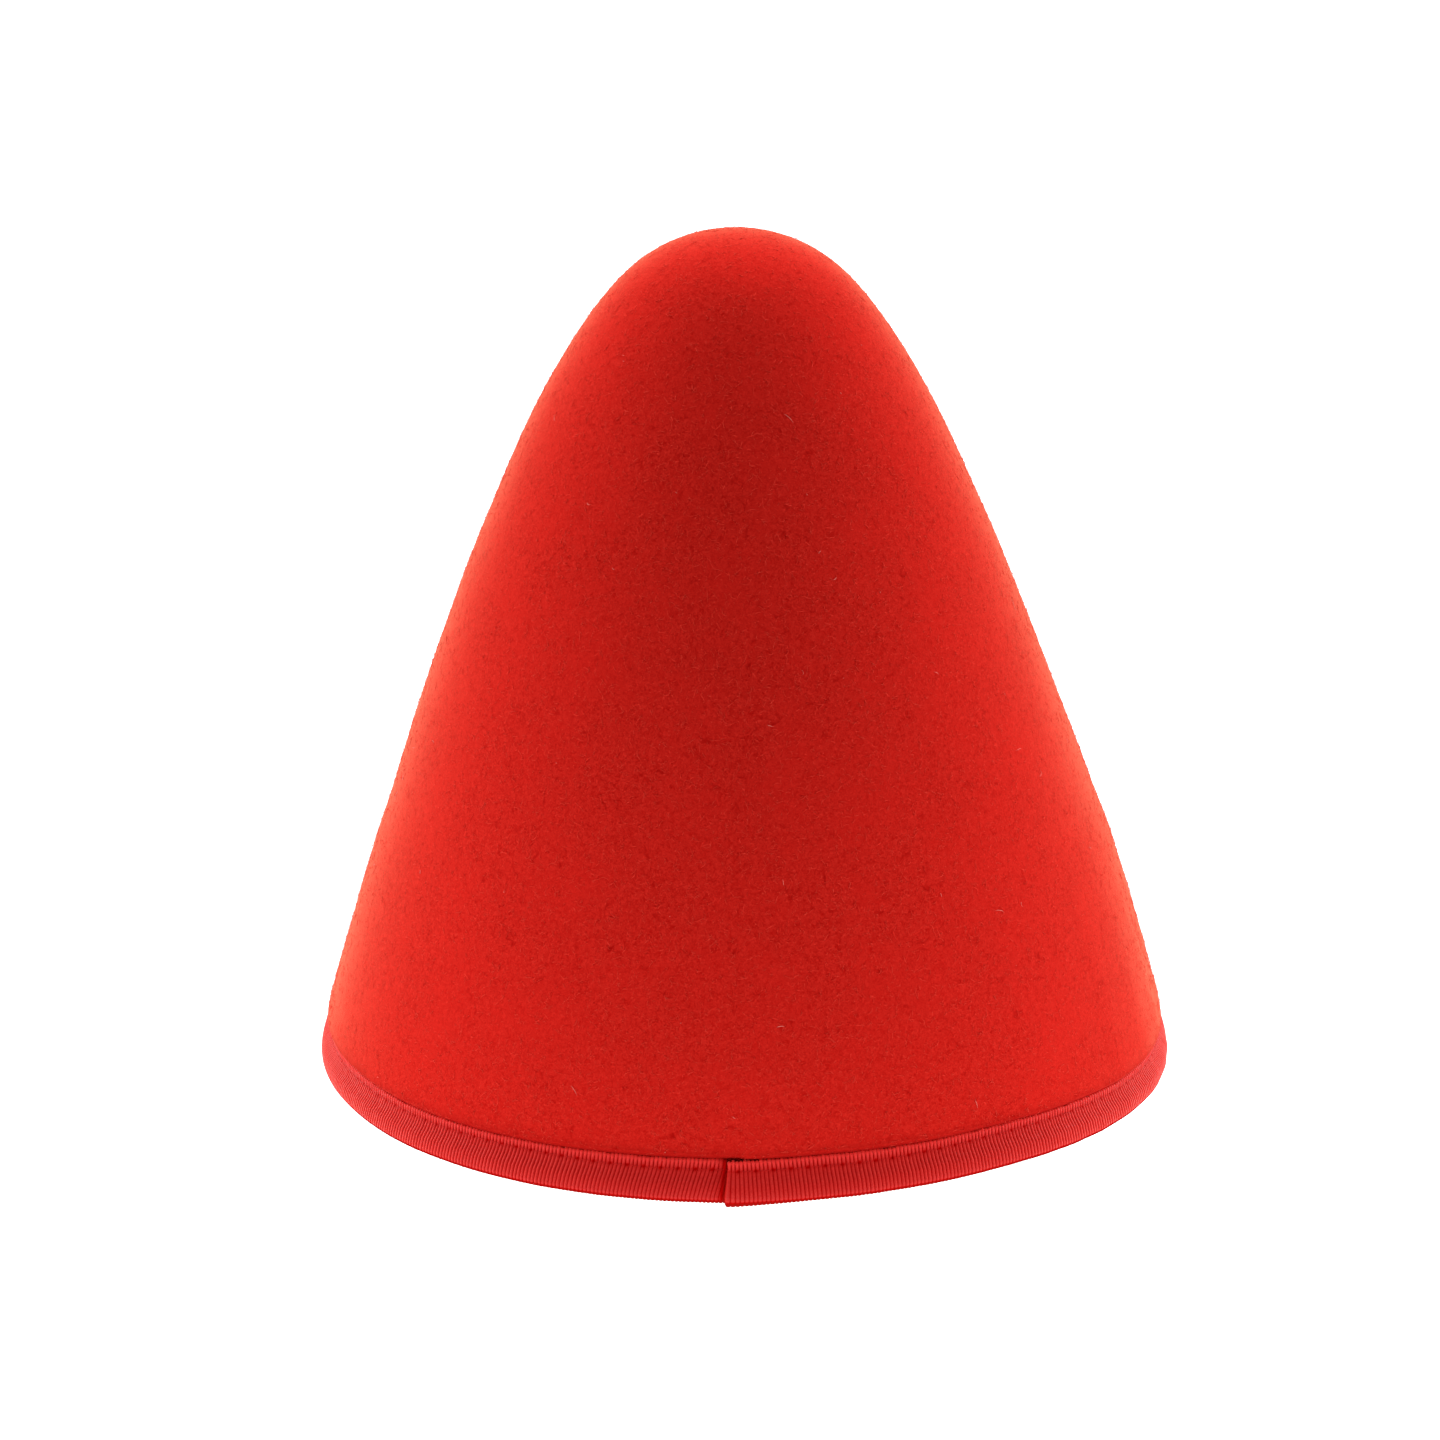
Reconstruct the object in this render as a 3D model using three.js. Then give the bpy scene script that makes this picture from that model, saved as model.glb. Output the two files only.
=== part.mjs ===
// A clown's cone hat: one seamless wool felt cone with a round tip, and a ribbon folded over its rim.
// Millimetres, +Z up. The rim rests on z = 0 round the origin, and the lap of the ribbon's ends faces -Y.
import * as THREE from "three";

const { degToRad, euclideanModulo, smoothstep } = THREE.MathUtils;

// Felt cone
const HAT_HEIGHT = 185.5;
const RIM_RADIUS = 94.3; // outside of the felt at its cut edge
const RIM_LEAN = degToRad(13); // the wall's lean from upright at the rim
const TIP_RADIUS = 34; // the round tip is a cap of a ball
const TIP_ARC = degToRad(41.4); // how far the cap reaches down from the top
const SHOULDER_PULL = 37.6; // how far the tip's slope carries on into the flank
const RIM_PULL = 38.8; // how far the rim's slope carries on up the flank
const FELT_THICKNESS = 2.4;
const FELT_SEGMENTS = 72;
const FELT_RINGS = 22;
const RING_CROWDING = 0.8; // 0 spaces the rings evenly, and nearer 1 crowds them at the tip and the rim

// Ribbon
const RIBBON_THICKNESS = 1;
const RIBBON_OUTSIDE = 8; // height of its outside leg above the felt's edge
const RIBBON_INSIDE = 7.2; // height of its inside leg above the felt's edge
const RIBBON_LEAN = degToRad(13.8); // the wall's lean halfway up the ribbon
const RIBBON_STEPS = 100; // along its length
const LEG_STEPS = 2; // up each leg
const TURN_STEPS = 3; // round each corner of the felt's edge
const GAP = 0.3; // between the ribbon and the felt, and between the lapped ends
const SQUEEZE = 0.7; // how far the ribbon presses the felt in, on each side
const SQUEEZE_TOP = 9.7; // the felt is pressed up to here
const SQUEEZE_FADE = 3.5; // and swells out again over this height

// Lap of the ribbon's ends
const LAP_ANGLE = degToRad(-92.5); // where the outer end shows, just left of the front
const LAP_SPAN = degToRad(6); // how far the hidden end runs on below it
const LAP_RAMP = degToRad(4); // where the outer end comes back down to the felt
const LAP_STEP = RIBBON_THICKNESS + GAP;

// How the soft felt departs from a true cone
const TIP_LEAN = 1.2; // the tip stands this far towards -X
const SWAY = 0.4; // the flank bows this far to +X in its lower half and to -X in its upper half
const LIFT_SPREAD = degToRad(70); // how far along the rim the lap lifts the edge off the floor
const LIFT_BOTTOM = 10; // the lift is whole up to here
const LIFT_TOP = 70; // and gone from here up

const FELT_EDGE = GAP + RIBBON_THICKNESS; // height of the felt's cut edge above the floor

// The outside of the felt from the tip down to the edge, as radius and height.
function feltOutline() {
  const shoulderRadius = TIP_RADIUS * Math.sin(TIP_ARC);
  const shoulderHeight = HAT_HEIGHT - TIP_RADIUS * (1 - Math.cos(TIP_ARC));
  const outline = new THREE.Path();
  outline.absarc(0, HAT_HEIGHT - TIP_RADIUS, TIP_RADIUS, Math.PI / 2, Math.PI / 2 - TIP_ARC, true);
  outline.bezierCurveTo(
    shoulderRadius + SHOULDER_PULL * Math.cos(TIP_ARC),
    shoulderHeight - SHOULDER_PULL * Math.sin(TIP_ARC),
    RIM_RADIUS - RIM_PULL * Math.sin(RIM_LEAN),
    FELT_EDGE + RIM_PULL * Math.cos(RIM_LEAN),
    RIM_RADIUS,
    FELT_EDGE,
  );
  return outline;
}

// How far the ribbon presses in each side of the felt at a height.
function squeezeAt(height) {
  return SQUEEZE * (1 - smoothstep(height, SQUEEZE_TOP, SQUEEZE_TOP + SQUEEZE_FADE));
}

// The felt's wall in section: down its inside from the tip, across the cut edge and up its outside.
function feltSection() {
  const outline = feltOutline();
  const inside = [];
  const outside = [];
  for (let ring = 0; ring <= FELT_RINGS; ring++) {
    const even = ring / FELT_RINGS;
    const along = even - (RING_CROWDING * Math.sin(2 * Math.PI * even)) / (2 * Math.PI);
    const point = outline.getPointAt(along);
    const tangent = outline.getTangentAt(along);
    const outward = new THREE.Vector2(-tangent.y, tangent.x);
    const squeeze = squeezeAt(point.y);
    inside.push(point.clone().addScaledVector(outward, squeeze - FELT_THICKNESS));
    outside.unshift(point.clone().addScaledVector(outward, -squeeze));
  }
  const section = [...inside, ...outside];
  for (const point of section) point.y = Math.max(point.y, FELT_EDGE);
  section[0].x = 0;
  section[section.length - 1].x = 0;
  return section;
}

// How far the lap lifts the rim off the floor at an angle, so that the lapped ends themselves stand on it.
function liftAt(angle) {
  const lapMiddle = LAP_ANGLE + LAP_SPAN / 2;
  const fromLap = Math.abs(euclideanModulo(angle - lapMiddle + Math.PI, 2 * Math.PI) - Math.PI);
  const plateau = LAP_SPAN / 2 + LAP_RAMP;
  return LAP_STEP * (1 - smoothstep(fromLap, plateau, plateau + LIFT_SPREAD));
}

// Gives a truly round piece the hat's lift, lean and sway.
function soften(geometry) {
  const position = geometry.attributes.position;
  for (let i = 0; i < position.count; i++) {
    const angle = Math.atan2(position.getY(i), position.getX(i));
    const share = position.getZ(i) / HAT_HEIGHT;
    const lift = liftAt(angle) * (1 - smoothstep(position.getZ(i), LIFT_BOTTOM, LIFT_TOP));
    const sideways = SWAY * Math.sin(2 * Math.PI * share) - TIP_LEAN * share;
    position.setX(i, position.getX(i) + sideways);
    position.setZ(i, position.getZ(i) + lift);
  }
  geometry.computeVertexNormals();
  return geometry;
}

// The places across the ribbon's width: a point of the felt's edge, and the way that the ribbon faces there.
function foldPlaces() {
  const up = new THREE.Vector2(-Math.sin(RIBBON_LEAN), Math.cos(RIBBON_LEAN));
  const outerCorner = new THREE.Vector2(RIM_RADIUS - SQUEEZE / Math.cos(RIBBON_LEAN), FELT_EDGE);
  const innerCorner = outerCorner.clone();
  innerCorner.x -= (FELT_THICKNESS - 2 * SQUEEZE) / Math.cos(RIBBON_LEAN);
  const down = -Math.PI / 2;
  const inward = RIBBON_LEAN - Math.PI;
  const places = [];
  for (let step = LEG_STEPS; step > 0; step--) {
    const point = outerCorner.clone().addScaledVector(up, (RIBBON_OUTSIDE * step) / LEG_STEPS);
    places.push({ point, facing: RIBBON_LEAN });
  }
  for (let step = 0; step <= TURN_STEPS; step++) {
    const facing = RIBBON_LEAN + ((down - RIBBON_LEAN) * step) / TURN_STEPS;
    places.push({ point: outerCorner, facing });
  }
  for (let step = 0; step <= TURN_STEPS; step++) {
    const facing = down + ((inward - down) * step) / TURN_STEPS;
    places.push({ point: innerCorner, facing });
  }
  for (let step = 1; step <= LEG_STEPS; step++) {
    const point = innerCorner.clone().addScaledVector(up, (RIBBON_INSIDE * step) / LEG_STEPS);
    places.push({ point, facing: inward });
  }
  return places;
}

// A flat strip whose X counts the places across it, Y its thickness, and Z its length from 0 to 1.
function flatStrip(placeCount) {
  const across = placeCount - 1;
  const strip = new THREE.BoxGeometry(across, RIBBON_THICKNESS, 1, across, 1, RIBBON_STEPS);
  return strip.translate(across / 2, RIBBON_THICKNESS / 2, 1 / 2);
}

// Folds a flat strip over the felt's edge and wraps it round the rim, from its hidden end to its outer end.
function wrapRound(strip, places) {
  const position = strip.attributes.position;
  const hiddenEnd = LAP_ANGLE + LAP_SPAN;
  const outerEnd = LAP_ANGLE - 2 * Math.PI;
  const rampStart = LAP_SPAN + LAP_RAMP / 2;
  for (let i = 0; i < position.count; i++) {
    const { point, facing } = places[Math.round(position.getX(i))];
    const angle = hiddenEnd + (outerEnd - hiddenEnd) * position.getZ(i);
    const lapped = 1 - smoothstep(angle - outerEnd, rampStart, rampStart + LAP_RAMP);
    const offFelt = GAP + LAP_STEP * lapped + position.getY(i);
    const radius = point.x + Math.cos(facing) * offFelt;
    const height = point.y + Math.sin(facing) * offFelt;
    position.setXYZ(i, radius * Math.cos(angle), radius * Math.sin(angle), height);
  }
  return strip;
}

function feltCone() {
  const wall = new THREE.LatheGeometry(feltSection(), FELT_SEGMENTS);
  wall.rotateX(Math.PI / 2);
  const felt = new THREE.MeshStandardMaterial({ color: 0xc41c16, roughness: 0.95, metalness: 0 });
  const mesh = new THREE.Mesh(soften(wall), felt);
  mesh.name = "felt_cone";
  return mesh;
}

function rimBinding() {
  const places = foldPlaces();
  const strip = wrapRound(flatStrip(places.length), places);
  const grosgrain = new THREE.MeshStandardMaterial({ color: 0xc42a28, roughness: 0.6, metalness: 0 });
  const mesh = new THREE.Mesh(soften(strip), grosgrain);
  mesh.name = "rim_binding";
  return mesh;
}

const hat = new THREE.Group();
hat.name = "clown_cone_hat";
hat.add(feltCone(), rimBinding());

export default hat;
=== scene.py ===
"""The looks of a clown's cone hat: fuzzy red felt, a ribbed ribbon over its rim, and soft white light."""

import math

import bpy
import numpy as np
from mathutils import Matrix, Vector


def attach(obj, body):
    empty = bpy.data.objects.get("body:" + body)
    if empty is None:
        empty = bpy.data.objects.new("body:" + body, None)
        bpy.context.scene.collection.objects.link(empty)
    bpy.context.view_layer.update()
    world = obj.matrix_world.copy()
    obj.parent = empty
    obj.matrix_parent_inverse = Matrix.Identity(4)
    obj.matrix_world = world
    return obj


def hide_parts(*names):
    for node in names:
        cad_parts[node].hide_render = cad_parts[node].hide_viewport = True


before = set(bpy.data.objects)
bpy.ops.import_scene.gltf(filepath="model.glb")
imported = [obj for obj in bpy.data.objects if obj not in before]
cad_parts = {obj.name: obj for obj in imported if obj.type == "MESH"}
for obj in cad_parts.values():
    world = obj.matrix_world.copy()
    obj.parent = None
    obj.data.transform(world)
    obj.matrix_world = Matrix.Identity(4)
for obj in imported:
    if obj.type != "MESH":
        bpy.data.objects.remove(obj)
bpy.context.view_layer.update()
random = np.random.default_rng(11)

# Lengths are in millimetres up to the last step, which makes each mesh in metres
MM = 0.001

# Sides of the felt's wall
OUTSIDE = 1
INSIDE = -1

# Felt cone
HAT_HEIGHT = 185.5
RIM_RADIUS = 94.3  # outside of the felt at its cut edge
RIM_HEIGHT = 1.3  # height of the cut edge
RIM_LEAN = math.radians(13)  # the wall's lean from upright there
TIP_RADIUS = 34  # the round tip is a cap of a ball
TIP_ARC = math.radians(41.4)  # how far the cap reaches down from the top
SHOULDER_PULL = 37.6  # how far the tip's slope carries on into the flank
RIM_PULL = 38.8  # how far the rim's slope carries on up the flank
FELT_THICKNESS = 2.4
SQUEEZE = 0.62  # how far the ribbon presses each side of the felt in
SQUEEZE_TOP = 9  # it presses up to here
SQUEEZE_FADE = 1.5  # and the felt swells out again over this height

# Painted shade where the felt tucks in behind the ribbon's top edge
TUCK_HEIGHT = 9.9  # it is whole up to here
TUCK_FADE = 1  # and fades out over about this height
TUCK_SHADE = 0.74  # how dark the painted shade is
TUCK_SIDES = 0.58  # share of that at the left and right, where more light reaches in

# Points and rows that the felt is worked out in
TIP_STEPS = 200
FLANK_STEPS = 800
FELT_SEGMENTS = 320
FELT_ROW = 1.35  # spacing of the rows down the outside
FELT_FINE_ROW = 0.22  # and between the next two heights, beside the ribbon's top edge
FELT_FINE_BOTTOM = SQUEEZE_TOP - 1
FELT_FINE_TOP = 15
FELT_HIDDEN_ROWS = 7  # behind the ribbon
FELT_INSIDE_ROW = 4.2

# The felt's gentle unevenness, as broad waves
LUMP_COUNT = 9
LUMP_SIZE = 0.05
LUMP_ROUND = (2, 9)  # waves round the cone, from the first number to just below the second
LUMP_DOWN = (1.5, 6)  # waves down it
LUMP_FROM_TIP = (12, 50)  # distances from the tip between which they set in
LUMP_FROM_RIM = (22, 10)  # and distances from the rim between which they die away

# How the soft felt departs from a true cone
TIP_LEAN = 1.2  # the tip stands this far towards -X
SWAY = 0.4  # the flank bows this far to +X in its lower half and to -X in its upper half
LIFT_BOTTOM = 10  # the rim's lift and bulge are whole up to here
LIFT_TOP = 70  # and gone from here up

# Rim: degrees round from +X, how far it lifts off the floor there, and how far it bulges out
RIM_PLACES = [
    (-180, 0, -0.45), (-160, 0, 0.1), (-142, 0, 0.4), (-129, 0.25, 0.42), (-120, 0.4, 0.35),
    (-111, 0.57, 0.28), (-103, 0.7, 0.2), (-95, 0.85, 0.25), (-85, 0.85, 0.2), (-77, 1, 0.03),
    (-69, 1.2, 0), (-57, 1.25, 0), (-52, 1.15, 0.08), (-47, 0.85, 0.15), (-41, 0.4, 0.12),
    (-35, 0.05, 0.25), (-28, 0, 0.65), (-21, 0, 0.82), (-14, 0, 0.4), (-8, 0, -0.15),
    (-2, 0, -0.55), (6, 0, -0.7), (25, 0, -0.3), (90, 0, 0), (160, 0, -0.2), (180, 0, -0.45),
]

# Flank: height, how much fuller the felt is there than its smooth outline, and how far it leans to +X
FLANK_PLACES = [
    (0, 0, 0), (9.1, 0, 0), (10.5, 1.15, 0), (12.5, 1.22, 0.05), (17, 1.12, -0.06), (24, 1.09, 0.03),
    (34, 0.87, 0.05), (48, 0.54, 0.04), (62, 0.06, -0.1), (90, -0.2, -0.3), (104, -0.2, -0.2),
    (124, -0.05, -0.05), (145, 0.2, 0.1), (173, 0.25, 0.1), (HAT_HEIGHT, 0.25, 0),
]

# Ribbon
RIBBON_THICKNESS = 0.28
RIBBON_LEAN = math.radians(13.8)
FELT_MIDDLE = (93.02, 1.5)  # radius and height of the middle of the felt's wall near its edge
HALF_WIDTH = 0.88  # from there to the ribbon's faces, between the ribs
FOLD_RADII = {OUTSIDE: 1.35, INSIDE: 0.9}  # of the corners of the fold under the felt
FOLD_FACINGS = {OUTSIDE: (14, -8, -30, -50, -70, -90), INSIDE: (-90, -128, -166)}  # degrees round each corner
FOLD_SHADE = 0.95  # how dark the painted shade under the fold is
FOLD_UNDER = (0.05, 0.5)  # it sets in as the ribbon comes to face down by these shares
OUTSIDE_LEG = 7.9  # height of the outside leg above the felt's edge
INSIDE_LEG = 6.6
LEG_FLARE = 1.09  # how far the outside leg stands out at its foot
LEG_FLARE_RISE = (1.2, 5.2)  # heights above the felt's edge between which it starts to
BACK_TOP = 0.2  # the ribbon's back starts this far below its edges
BACK_FEET = {INSIDE: -0.4, OUTSIDE: -0.9}  # and turns at these heights above the felt's edge

# Ribs
RIB_PITCH = 0.87
RIB_RELIEF = 0.27
FOLD_RELIEF = 0.6  # share of the relief under the fold, where the ribs are pressed flat
EDGE_RELIEF = 0.5  # and share of it at the ribbon's edges
RIB_WIDTH_SPREAD = 0.035  # how uneven the ribs' widths are
RIB_WIDTHS = (0.9, 1.1)  # as shares of the pitch
RIB_HEIGHT_SPREAD = 0.06  # and how uneven their heights
RIB_HEIGHTS = (0.8, 1.2)  # as shares of the relief
VALLEY_SHADE = 0.5  # how dark the painted shade in the valleys between the ribs is
CREST_GLOSS = 0.19  # and how glossy their crests

# Across a rib: share of its width, share of its height, and share of the painted valley shade
RIB_PLACES = [(0, 0, 1), (0.21, 0.85, 0.36), (0.5, 1, 0), (0.79, 0.85, 0.36)]

# Selvedge
SELVEDGE_SCALLOP = 0.36
SELVEDGE_SPREAD = 0.35  # how uneven its scallops are
SELVEDGE_MOST = 0.8  # and the most that one departs from the rest
SELVEDGE_MIDDLE = 0.5  # share of a rib's height at which its edge is neither raised nor lowered
SELVEDGE_HIGHLIGHT_FADE = (0.5, 1.6)  # distances below the top edge between which the painted highlight on it ends

# Stitches
STITCH_LENGTH = 3.7
STITCH_DROP = 1.9  # below the ribbon's top edge
STITCH_GROOVE = 0.12
STITCH_DENT = 0.18
DENT_WIDTH = 0.27
STITCH_SHADE = 0.31  # how dark the painted shade along the stitches is, beside the dents
STITCH_HOLE = 0.74  # and in them
STITCH_SIDES = 0.4  # share of that at the left and right, where more light reaches in
STITCH_STATIONS = 7  # points along a stitch
STITCH_GAP = 0.5  # between the ends of two stitches
THREAD_RADIUS = 0.09
THREAD_SIDES = 6
THREAD_SEAT = 0.6  # share of the ribs' relief that the thread lies at
THREAD_SINK = 0.3  # how far its ends go down into the holes
THREAD_SINK_POWER = 4

# Outside leg's rows: distance below its edge, and shares of the relief, the stitches' pull and the painted
# shade in the valleys
OUTSIDE_ROWS = [
    (0.16, 1.1, 0, 0), (0.5, 1.5, 0, 0.3), (0.95, 1.35, 0.05, 1.1), (1.45, 1, 0.4, 1.5),
    (STITCH_DROP, 0.8, 1, 1), (2.3, 1, 0.45, 1), (2.75, 1, 0.05, 1), (3.6, 1, 0, 1), (4.6, 1, 0, 1),
    (5.8, 1, 0, 1),
]

# Inside leg's rows, in the same columns
INSIDE_ROWS = [(2.6, 1, 0.1, 1), (STITCH_DROP, 0.8, 1, 1), (0.9, 1, 0.1, 1), (0.16, 0.9, 0, 1)]

# Ribbon's top edge: degrees round from +X, and how far it and its stitches lie below their usual heights
EDGE_PLACES = [
    (-180, 1.7, 0), (-163, 1.55, 0), (-152, 1.15, 0), (-144, 0.93, 0), (-136, 0.8, 0), (-129, 0.62, 0),
    (-122, 0.45, 0), (-116, 0.35, 0.05), (-109, 0.2, 0.35), (-99, 0.1, 0.5), (-92, 0.08, 0.45), (-81, 0, 0.5),
    (-76, 0.05, 0.6), (-70, 0.2, 0.5), (-64, 0.27, 0.2), (-58, 0.28, 0.1), (-51, 0.42, 0), (-44, 0.6, 0),
    (-37, 0.85, 0), (-31, 1.35, 0), (-25, 1.55, 0), (-12, 1.65, 0), (0, 1.5, 0), (90, 0.9, 0), (150, 1.4, 0),
    (180, 1.7, 0),
]

# Lap of the ribbon's ends
LAP_ANGLE = math.radians(-92.5)  # where the outer end shows
LAP_SPAN = math.radians(1.5)  # how far the hidden end runs on below it
LAP_STEP = 0.88  # how far the outer end stands out
LAP_FADE = (-6, 18)  # distances from the outer end between which it comes back down to the felt
LAP_SAG = 0.5  # how far the outer end's top edge hangs below the rest
LAP_CORNER = 0.5  # how far its bottom corner runs past its top corner
LAP_SHADE = 1  # how far the painted shadow beside it reaches
LAP_ROUNDING = 0.5
LEFT_SLANT = math.radians(16)  # of the ribs just left of the lap
RIGHT_SLANT = math.radians(6.5)  # and of those to its right, the other way
RIGHT_SLANT_RISE = 6  # distance from the outer end in which they start to slant
SLANT_FADE = 42
LEFT_SELVEDGE_SLANT = 0.5  # of the ribs above the stitches, as a share of that below
RIGHT_SELVEDGE_SLANT = 2

# The ribbon from its hidden end to its outer end
STRIP_TURN = 2 * math.pi + LAP_SPAN
STRIP_RADIUS = FELT_MIDDLE[0] + HALF_WIDTH
STRIP_LENGTH = STRIP_TURN * STRIP_RADIUS

# Fibres
FIBRE_RISE = (-0.06, 0.75, 1.0, 0.35)  # shares of a fibre's height along it, from its root
SHORT_POWER = 3  # most fibres are short: their lengths follow an even spread to this power
TIP_CLEARANCE = 0.2  # no fibre comes nearer than this to the middle of the tip
LEAST_RADIUS = 2  # a fibre there turns round the hat as if on this radius
SPREAD_STEPS = 2000  # for spreading the fibres evenly over the felt
STEEP = 0.9  # upward share of a path's direction from which it counts as upright

# Fuzz
FUZZ_BOTTOM = 9.7  # height of the lowest fibres
FUZZ_PIECES = 3
FUZZ_PER_PIECE = 15000
FUZZ_LENGTH = (0.5, 2.5)
FUZZ_RADIUS = (0.022, 0.042)
FUZZ_SIDES = 3
FUZZ_HEIGHT = 0.06  # of the flattest fibres
FUZZ_LOFT = 0.09  # about how much higher fibres stand on average
FUZZ_LOFT_MOST = 0.5
FUZZ_BEND = 1.8  # spread of their bends, in radians

# Lint
LINT_COUNT = 90
LINT_LENGTH = (0.3, 3.2)
LINT_RADIUS = (0.03, 0.055)
LINT_SIDES = 4
LINT_HEIGHT = (0.1, 0.3)
LINT_BEND = 1.6

# Colours
FELT_COLOUR = (0.6, 0.012, 0.008)
FELT_FIBRES = [(0.44, 0.0012, 0.0004), (0.72, 0.0235, 0.0155)]  # the darkest and the palest
FELT_PITS = (0.42, 0.003, 0.002)
FELT_PATCHES = (0.66, 0.012, 0.008)
# Painted shade where the felt tucks in behind the ribbon
FELT_TUCK_SHADE = (0.2, 0.0015, 0.001)
FELT_SHEEN = (1, 0.3, 0.165)
FUZZ_COLOUR = (0.84, 0.055, 0.036)
FUZZ_SHEEN = (1, 0.42, 0.26)
LINT_COLOUR = (0.85, 0.3, 0.25)
RIBBON_COLOUR = (0.6, 0.0135, 0.0135)
RIBBON_YARNS = [(0.5, 0.007, 0.0056), (0.655, 0.0245, 0.02)]  # the darkest and the palest
RIBBON_PAINTED_SHEEN = (1, 0.032, 0.018)  # painted sheen, where it is seen aslant
RIBBON_SHEEN = (1, 0.34, 0.26)
# Painted highlight on the selvedge
SELVEDGE_HIGHLIGHT = (0.86, 0.028, 0.023)
# Painted shade in the valleys between the ribs
VALLEY_SHADE_COLOUR = (0.42, 0.0006, 0.0006)
# Painted shade in the stitch holes, beside the lap and under the fold
PAINTED_SHADE_COLOUR = (0.25, 0.006, 0.004)
THREAD_COLOUR = (0.46, 0.009, 0.008)
WHITE = (1, 1, 1)
BLACK = (0, 0, 0)

# Light
TENT_GLOW = 3.0
ZENITH_GLOW = 0.34  # added overhead
ZENITH_POWER = 2  # how closely that gathers round the zenith
BACKDROP_GLOW = 1.6
FLOOR_GLOW = 2.12
FLOOR_FRONT = -300
FLOOR_REACH = 4000

# Light tent: place from front to back, and share of its glow there
TENT_STOPS = [
    (0, 0), (0.125, 0.02), (0.25, 0.1), (0.375, 0.23), (0.5, 0.52), (0.63, 0.95), (0.78, 1), (1, 0.45),
]

# Camera, fitted to the photo's outline
CAMERA_AIM = (-5.0, 0, 75.4)
CAMERA_DISTANCE = 1200
CAMERA_HEIGHT = math.radians(18.7)
CAMERA_ROLL = math.radians(-0.33)
CAMERA_LENS = 136.08
SENSOR_WIDTH = 36


def smoothstep(value, low, high):
    share = np.clip((np.asarray(value, float) - low) / (high - low), 0, 1)
    return share * share * (3 - 2 * share)


def grid_faces(rows, columns, round_closed):
    """Quads between neighbouring points of a grid, which may close on itself along its columns."""
    last = columns if round_closed else columns - 1
    row, column = np.meshgrid(np.arange(rows - 1), np.arange(last), indexing="ij")
    beside = (column + 1) % columns
    here = row * columns
    below = (row + 1) * columns
    quads = [here + column, below + column, below + beside, here + beside]
    return np.stack(quads, axis=-1).reshape(-1, 4)


def add_piece(name, points, faces, material):
    """A smooth mesh piece of the hat, from points in millimetres."""
    mesh = bpy.data.meshes.new(name)
    mesh.from_pydata((np.asarray(points) * MM).tolist(), [], faces)
    mesh.polygons.foreach_set("use_smooth", np.ones(len(mesh.polygons), dtype=bool))
    mesh.materials.append(material)
    mesh.update()
    piece = bpy.data.objects.new(name, mesh)
    bpy.context.scene.collection.objects.link(piece)
    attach(piece, "root")
    return piece


def add_values(piece, name, values):
    """A value at each point of a piece, for its material to read by name."""
    attribute = piece.data.attributes.new(name, "FLOAT", "POINT")
    attribute.data.foreach_set("value", np.asarray(values, float).ravel())


def table_at(table, place, column):
    """A value from one of the tables above, with smooth steps between its rows."""
    rows = np.array(table, float)
    index = np.clip(np.searchsorted(rows[:, 0], place, side="right") - 1, 0, len(rows) - 2)
    share = smoothstep((place - rows[index, 0]) / (rows[index + 1, 0] - rows[index, 0]), 0, 1)
    return rows[index, column] + share * (rows[index + 1, column] - rows[index, column])


def round_at(table, angle, column):
    """A value from a table whose places are degrees round from +X."""
    degrees = np.degrees((angle + math.pi) % (2 * math.pi) - math.pi)
    return table_at(table, degrees, column)


def with_sides(angle, share):
    """1 at the front and the back of the hat, and a share of it at the left and right."""
    return share + (1 - share) * np.sin(angle) ** 2


def stand(radius, angle, height):
    """Points of the hat from places on a truly round cone, with its lean, sway and uneven rim."""
    share = height / HAT_HEIGHT
    sideways = SWAY * np.sin(2 * math.pi * share) - TIP_LEAN * share + table_at(FLANK_PLACES, height, 2)
    near_rim = 1 - smoothstep(height, LIFT_BOTTOM, LIFT_TOP)
    lift = round_at(RIM_PLACES, angle, 1) * near_rim
    out = radius + round_at(RIM_PLACES, angle, 2) * near_rim
    return np.stack([out * np.cos(angle) + sideways, out * np.sin(angle), height + lift], axis=-1)


class Outline:
    """The outside of the felt in section, from the tip down to the cut edge."""

    def __init__(self):
        arc = np.linspace(0, TIP_ARC, TIP_STEPS)
        tip = np.column_stack([TIP_RADIUS * np.sin(arc), HAT_HEIGHT - TIP_RADIUS * (1 - np.cos(arc))])
        shoulder = tip[-1]
        rim = np.array([RIM_RADIUS, RIM_HEIGHT])
        shoulder_pull = shoulder + SHOULDER_PULL * np.array([math.cos(TIP_ARC), -math.sin(TIP_ARC)])
        rim_pull = rim + RIM_PULL * np.array([-math.sin(RIM_LEAN), math.cos(RIM_LEAN)])
        t = np.linspace(0, 1, FLANK_STEPS)[1:, None]
        flank = (1 - t) ** 3 * shoulder + 3 * (1 - t) ** 2 * t * shoulder_pull
        flank = flank + 3 * (1 - t) * t**2 * rim_pull + t**3 * rim
        self.points = np.vstack([tip, flank])
        steps = np.linalg.norm(np.diff(self.points, axis=0), axis=1)
        self.along = np.concatenate([[0], np.cumsum(steps)])
        self.length = self.along[-1]
        slope = np.gradient(self.points, self.along, axis=0)
        slope /= np.linalg.norm(slope, axis=1)[:, None]
        self.outward = np.column_stack([-slope[:, 1], slope[:, 0]])

    def at(self, along):
        """Radius and height at a distance from the tip, and the same two of the way that the felt faces."""
        point = [np.interp(along, self.along, self.points[:, i]) for i in (0, 1)]
        outward = [np.interp(along, self.along, self.outward[:, i]) for i in (0, 1)]
        return *point, *outward

    def from_height(self, height):
        """The distance from the tip at a height."""
        return np.interp(-height, -self.points[:, 1], self.along)


outline = Outline()


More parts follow.
